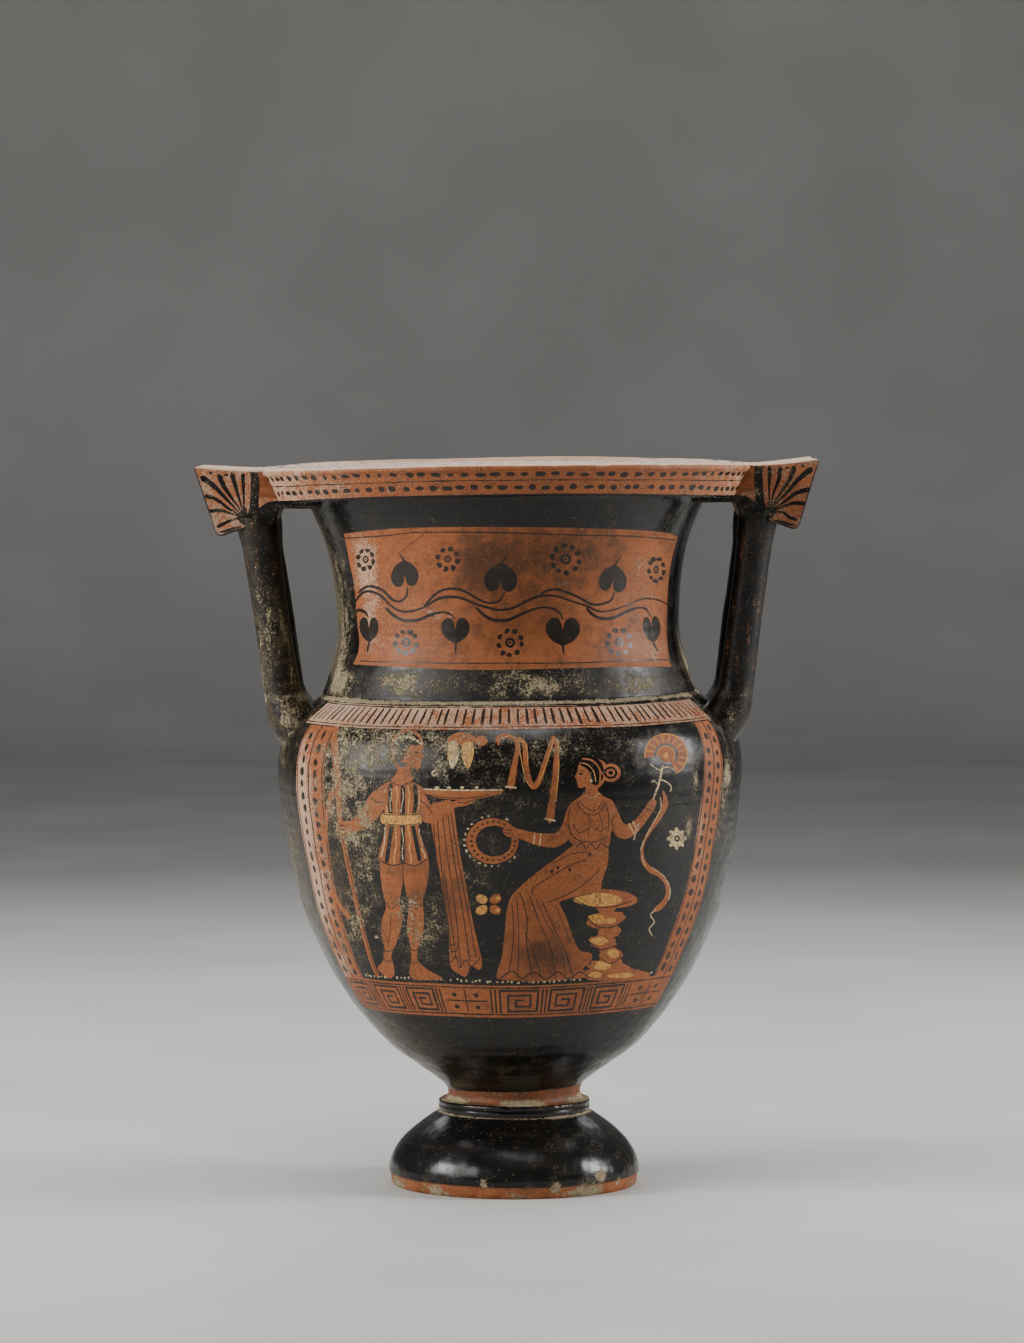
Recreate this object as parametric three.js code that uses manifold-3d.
// Column krater: a footed mixing bowl of fired clay with a tall concave neck, an
// overhanging rim, a rectangular plate over each handle, and two columns under each plate.
// Everything was luted together with slip and fired as one, so it is one solid.
// Millimetres, +Z up. X runs through the two handles and -Y is the pictured side.
import * as THREE from "three";
import { mergeVertices } from "three/addons/utils/BufferGeometryUtils.js";
import Module from "manifold-3d";

// ---- driving sizes -------------------------------------------------------
const SEGMENTS = 56; // facets round the axis

const FOOT = { edgeR: 83, edgeH: 3.2, maxR: 85, maxZ: 9.5, topR: 54, topZ: 48.5 }; // torus foot
const COLLAR = { r: 51.2, z0: 49.6, z1: 57.4 }; // fillet on top of the foot
const STEM = { r: 44.9, z: 63.2 };

// Outside of the bowl, from the stem to the ledge under the neck: radius, height.
const BOWL = [
  [STEM.r, STEM.z], [48.6, 70], [67.3, 83.6], [85.3, 97.2], [108.5, 124.4], [125.5, 151.6],
  [142.5, 192.4], [152, 233.2], [157.4, 276], [155.4, 301], [147, 318], [129.2, 333.4],
];
const LEDGE = { r: 127.2, z: 335.2 };
const NECK = [
  [126.2, 337], [122.4, 348.8], [116.6, 369.2], [115.6, 386], [117.3, 410], [122.7, 437.2], [133.6, 464.4],
];
const RIM = { r: 170, lowR: 159.6, top: 488.5, low: 466.5, mouthR: 128, mouthZ: 492, under: 475, lipIn: 153 };

// Inside of the bowl and neck, from the axis up to the mouth.
const INSIDE = [
  [0, 72], [35, 75], [60, 85], [78, 98.5], [101.5, 126.5], [118.5, 153.5], [135.5, 193.5],
  [144.8, 233.6], [150.2, 275], [148.2, 299], [139, 314.5], [121.5, 330], [116, 345], [109.3, 369], [108.4, 386],
  [110.2, 411], [115.6, 440], [124.6, 463],
];
const FOOT_HOLLOW = [[72, 0], [69.5, 9], [62, 24], [45, 38], [20, 45.5], [0, 47]];

const PLATE = {
  halfW: 48, // half the width along Y
  topX: 210.2, lowX: 195.6, // the end face leans in towards its foot
  top: 488.5, lowZ: 444.5,
  stepX: 155, innerZ: 463, // shallower towards the neck
  slab: 476, // ceiling of the pocket under the plate
  wall: 9,
};
const COLUMN = {
  r: 11.9, refX: 152.3, refZ: 335, slope: 0.1366, // leans outwards going up
  topZ: 455, footZ: 291, footY: 28, topY: 35.6, flareTop: 1.8, flareFoot: 5.2,
};
// The kiln left it a little out of true.
const LEAN = { deg: 0.7, z0: 52, z1: 76, pivotZ: 60 }; // the bowl sits askew on its foot
const WARP = { z0: 440, z1: 466, topRaise: 3.2, lowRaise: 6, plateRaise: 3.4 };

// ---- small helpers -------------------------------------------------------
const smooth = (a, b, x) => {
  const t = Math.min(1, Math.max(0, (x - a) / (b - a)));
  return t * t * (3 - 2 * t);
};
const spline = (knots, steps) =>
  new THREE.SplineCurve(knots.map(([r, z]) => new THREE.Vector2(r, z))).getPoints(steps);
const V = (r, z) => new THREE.Vector2(r, z);

const wasm = await Module();
wasm.setup();

// A closed three.js geometry as a solid, whichever way its faces were wound.
function solid(geometry) {
  const bare = geometry.clone();
  for (const name of Object.keys(bare.attributes)) if (name !== "position") bare.deleteAttribute(name);
  const merged = mergeVertices(bare, 1e-3);
  const index = merged.index.array;
  const kept = [];
  for (let i = 0; i < index.length; i += 3) {
    const [a, b, c] = [index[i], index[i + 1], index[i + 2]];
    if (a !== b && b !== c && a !== c) kept.push(a, b, c);
  }
  const p = merged.attributes.position.array;
  let volume = 0;
  for (let i = 0; i < kept.length; i += 3) {
    const [a, b, c] = [kept[i] * 3, kept[i + 1] * 3, kept[i + 2] * 3];
    volume +=
      p[a] * (p[b + 1] * p[c + 2] - p[b + 2] * p[c + 1]) -
      p[a + 1] * (p[b] * p[c + 2] - p[b + 2] * p[c]) +
      p[a + 2] * (p[b] * p[c + 1] - p[b + 1] * p[c]);
  }
  if (volume < 0) for (let i = 0; i < kept.length; i += 3) [kept[i + 1], kept[i + 2]] = [kept[i + 2], kept[i + 1]];
  return new wasm.Manifold(
    new wasm.Mesh({ numProp: 3, vertProperties: new Float32Array(p), triVerts: new Uint32Array(kept) }),
  );
}
const turned = (profile) => solid(new THREE.LatheGeometry(profile, SEGMENTS).rotateX(Math.PI / 2));

// A side outline in (x, z) run along Y from -half to +half, on the +X or -X side.
function across(outline, half, side) {
  const shape = new THREE.Shape(outline.map(([x, z]) => new THREE.Vector2(side * x, z)));
  const g = new THREE.ExtrudeGeometry(shape, { depth: 2 * half, bevelEnabled: false });
  return solid(g.rotateX(Math.PI / 2).translate(0, half, 0));
}

// ---- turned parts --------------------------------------------------------
const outside = [V(0, 20), V(FOOT.edgeR - 6, 0), V(FOOT.edgeR, 0), V(FOOT.edgeR + 0.3, FOOT.edgeH)];
for (let i = 0; i <= 5; i++) {
  const z = FOOT.maxZ + ((FOOT.topZ - FOOT.maxZ) * i) / 5;
  const u = (z - FOOT.maxZ) / (FOOT.topZ - FOOT.maxZ);
  outside.push(V(FOOT.topR + (FOOT.maxR - FOOT.topR) * (1 - u * u), z));
}
outside.push(V(COLLAR.r, COLLAR.z0), V(COLLAR.r, COLLAR.z1), V(STEM.r + 1.4, COLLAR.z1 + 1));
outside.push(...spline(BOWL, 15));
outside.push(V(LEDGE.r, LEDGE.z));
outside.push(...spline(NECK, 7));
outside.push(
  V(143, RIM.under), V(RIM.lipIn, 472), V(RIM.lowR - 3, RIM.low), V(RIM.lowR, RIM.low),
  V(RIM.lowR + 3.4, RIM.low + 8), V(RIM.r - 2, RIM.top - 4), V(RIM.r, RIM.top - 1.6), V(RIM.r - 1, RIM.top),
  V(RIM.mouthR, RIM.mouthZ), V(0, RIM.mouthZ),
);
outside.shift();
outside.unshift(V(0, 0));

const inside = spline(INSIDE, 16);
inside.push(V(RIM.mouthR - 1, 478), V(RIM.mouthR - 0.6, 488.5), V(RIM.mouthR + 1.6, 492.2), V(RIM.mouthR + 1.6, 512), V(0, 512));
const underFoot = FOOT_HOLLOW.map(([r, z]) => V(r, z));
underFoot.unshift(V(0, -5), V(FOOT_HOLLOW[0][0], -5));

// ---- handle plates and columns -------------------------------------------
const P = PLATE;
const plateOutline = [
  [118, P.top - 0.4], [118, P.innerZ], [P.stepX - 2, P.innerZ], [P.stepX + 2, 453], [180, 448.4],
  [187, 446.2], [P.lowX - 4.2, P.lowZ], [P.lowX - 0.6, P.lowZ + 1.4], [P.lowX + 1.5, P.lowZ + 4.6],
  [P.topX - 0.6, P.top - 3], [P.topX - 1.1, P.top - 1], [P.topX - 3, P.top],
];
// The pocket under the plate leaves the end wall and the two cheeks standing.
const endX = (z) => P.lowX + ((P.topX - P.lowX) * (z - P.lowZ)) / (P.top - P.lowZ) - P.wall;
const pocketMid = [[150.5, P.slab], [150.5, 440], [endX(440), 440], [endX(P.slab), P.slab]];
const pocketEnd = [[183, P.slab], [183, 440], [endX(440), 440], [endX(P.slab), P.slab]];

function column(side, front) {
  const C = COLUMN, rows = 11;
  const g = new THREE.CylinderGeometry(1, 1, 1, 14, rows, false); // its axis is Y, from -0.5 to 0.5
  const p = g.attributes.position;
  for (let i = 0; i < p.count; i++) {
    const z = C.footZ + (C.topZ - C.footZ) * (p.getY(i) + 0.5);
    const flare = C.flareFoot * smooth(343, 316, z);
    const r = C.r + flare + C.flareTop * smooth(432, 452, z);
    const x = C.refX + (z - C.refZ) * C.slope - flare - 11 * smooth(322, C.footZ, z) ** 1.3;
    const y = C.footY + ((C.topY - C.footY) * (z - 320)) / (450 - 320);
    p.setXYZ(i, side * (x + r * p.getX(i)), front * (y + r * p.getZ(i)), z);
  }
  return solid(g);
}

let krater = turned(outside);
for (const side of [-1, 1]) {
  krater = krater.add(across(plateOutline, P.halfW, side));
  for (const front of [-1, 1]) krater = krater.add(column(side, front));
}
for (const side of [-1, 1]) {
  krater = krater.subtract(across(pocketMid, 19, side)).subtract(across(pocketEnd, P.halfW - P.wall, side));
}
krater = krater.subtract(turned(inside)).subtract(turned(underFoot));

// ---- out of true ---------------------------------------------------------
function settle(x, y, z) {
  const up = smooth(WARP.z0, WARP.z1, z);
  const toTop = Math.min(1, Math.max(0, (z - RIM.low) / (RIM.top - RIM.low)));
  const across = Math.min(1.1, Math.abs(y) / RIM.r);
  z += up * (WARP.lowRaise + (WARP.topRaise - WARP.lowRaise) * toTop) * across * across;
  const past = Math.max(0, Math.abs(x) - 165) / (PLATE.topX - 165);
  z += up * WARP.plateRaise * past * past;
  const a = THREE.MathUtils.degToRad(LEAN.deg) * smooth(LEAN.z0, LEAN.z1, z);
  return [x - Math.sin(a) * (z - LEAN.pivotZ), y, z + Math.sin(a) * x];
}
const mesh = krater.getMesh();
const n = mesh.numProp;
const position = new Float32Array(mesh.numVert * 3);
let lowX = Infinity, highX = -Infinity;
for (let i = 0; i < mesh.numVert; i++) {
  const q = settle(...mesh.vertProperties.subarray(i * n, i * n + 3));
  position.set(q, i * 3);
  lowX = Math.min(lowX, q[0]);
  highX = Math.max(highX, q[0]);
}
const shift = -(lowX + highX) / 2; // the origin is under the middle of the whole
for (let i = 0; i < position.length; i += 3) position[i] += shift;

const geometry = new THREE.BufferGeometry();
geometry.setAttribute("position", new THREE.BufferAttribute(position, 3));
geometry.setIndex(new THREE.BufferAttribute(new Uint32Array(mesh.triVerts), 1));
geometry.computeVertexNormals();

const vase = new THREE.Mesh(
  geometry,
  new THREE.MeshStandardMaterial({ color: 0x2a2622, roughness: 0.38, metalness: 0 }),
);
vase.name = "krater";

const group = new THREE.Group();
group.add(vase);
group.userData.shift = shift;
export default group;
